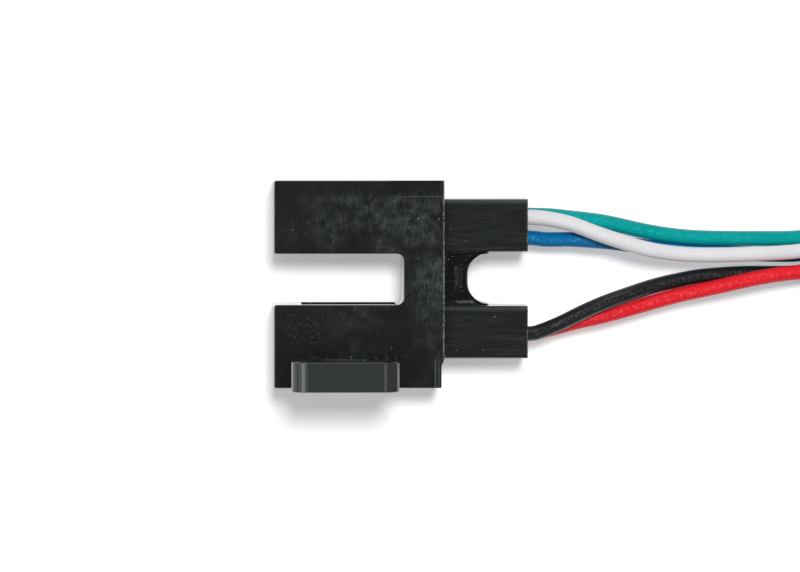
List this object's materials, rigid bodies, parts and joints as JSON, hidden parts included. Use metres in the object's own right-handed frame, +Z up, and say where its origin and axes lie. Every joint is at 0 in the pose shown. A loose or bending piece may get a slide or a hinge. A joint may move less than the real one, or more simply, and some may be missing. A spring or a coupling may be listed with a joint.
{
  "type": "slotted optical switch",
  "caption": "Fork-shaped through-beam sensor with a slot, a side mounting lug and coloured flying leads, lying on its side.",
  "frame": {"origin": "under the middle of the body without its leads, on the surface that it lies on", "axes": "+X along the slot, away from its mouth and towards the leads; +Y across the slot to the sensor's arm; +Z up, the way the lug stands"},
  "size_m": [0.0851, 0.0171, 0.0132],
  "materials": {
    "moulded_black": "fine satin moulding",
    "black_epoxy": "glossy cast resin",
    "tinned_copper": "bright tinned",
    "solder": "smooth solder",
    "infrared_epoxy": "dark moulded resin that passes infrared",
    "clear_epoxy": "clear moulded resin",
    "white_insulation": "satin wire insulation",
    "green_insulation": "satin wire insulation",
    "blue_insulation": "satin wire insulation",
    "black_insulation": "satin wire insulation",
    "red_insulation": "satin wire insulation",
    "tie_plastic": "matt flat tie"
  },
  "bodies": {
    "root": {"black_solder": "solder", "black_strands": "tinned_copper", "black_wire": "black_insulation", "blue_solder": "solder", "blue_strands": "tinned_copper", "blue_wire": "blue_insulation", "emitter_lead_1": "tinned_copper", "emitter_lead_2": "tinned_copper", "emitter_package": "clear_epoxy", "emitter_potting": "black_epoxy", "emitter_shell": "moulded_black", "epoxy_bead": "black_epoxy", "fork_housing": "moulded_black", "green_solder": "solder", "green_strands": "tinned_copper", "green_wire": "green_insulation", "hank_tie": "tie_plastic", "red_solder": "solder", "red_strands": "tinned_copper", "red_wire": "red_insulation", "sensor_lead_1": "tinned_copper", "sensor_lead_2": "tinned_copper", "sensor_lead_3": "tinned_copper", "sensor_package": "infrared_epoxy", "sensor_potting": "black_epoxy", "sensor_shell": "moulded_black", "white_solder": "solder", "white_strands": "tinned_copper", "white_wire": "white_insulation", "wire_hank": "white_insulation"}
  },
  "joints": []
}
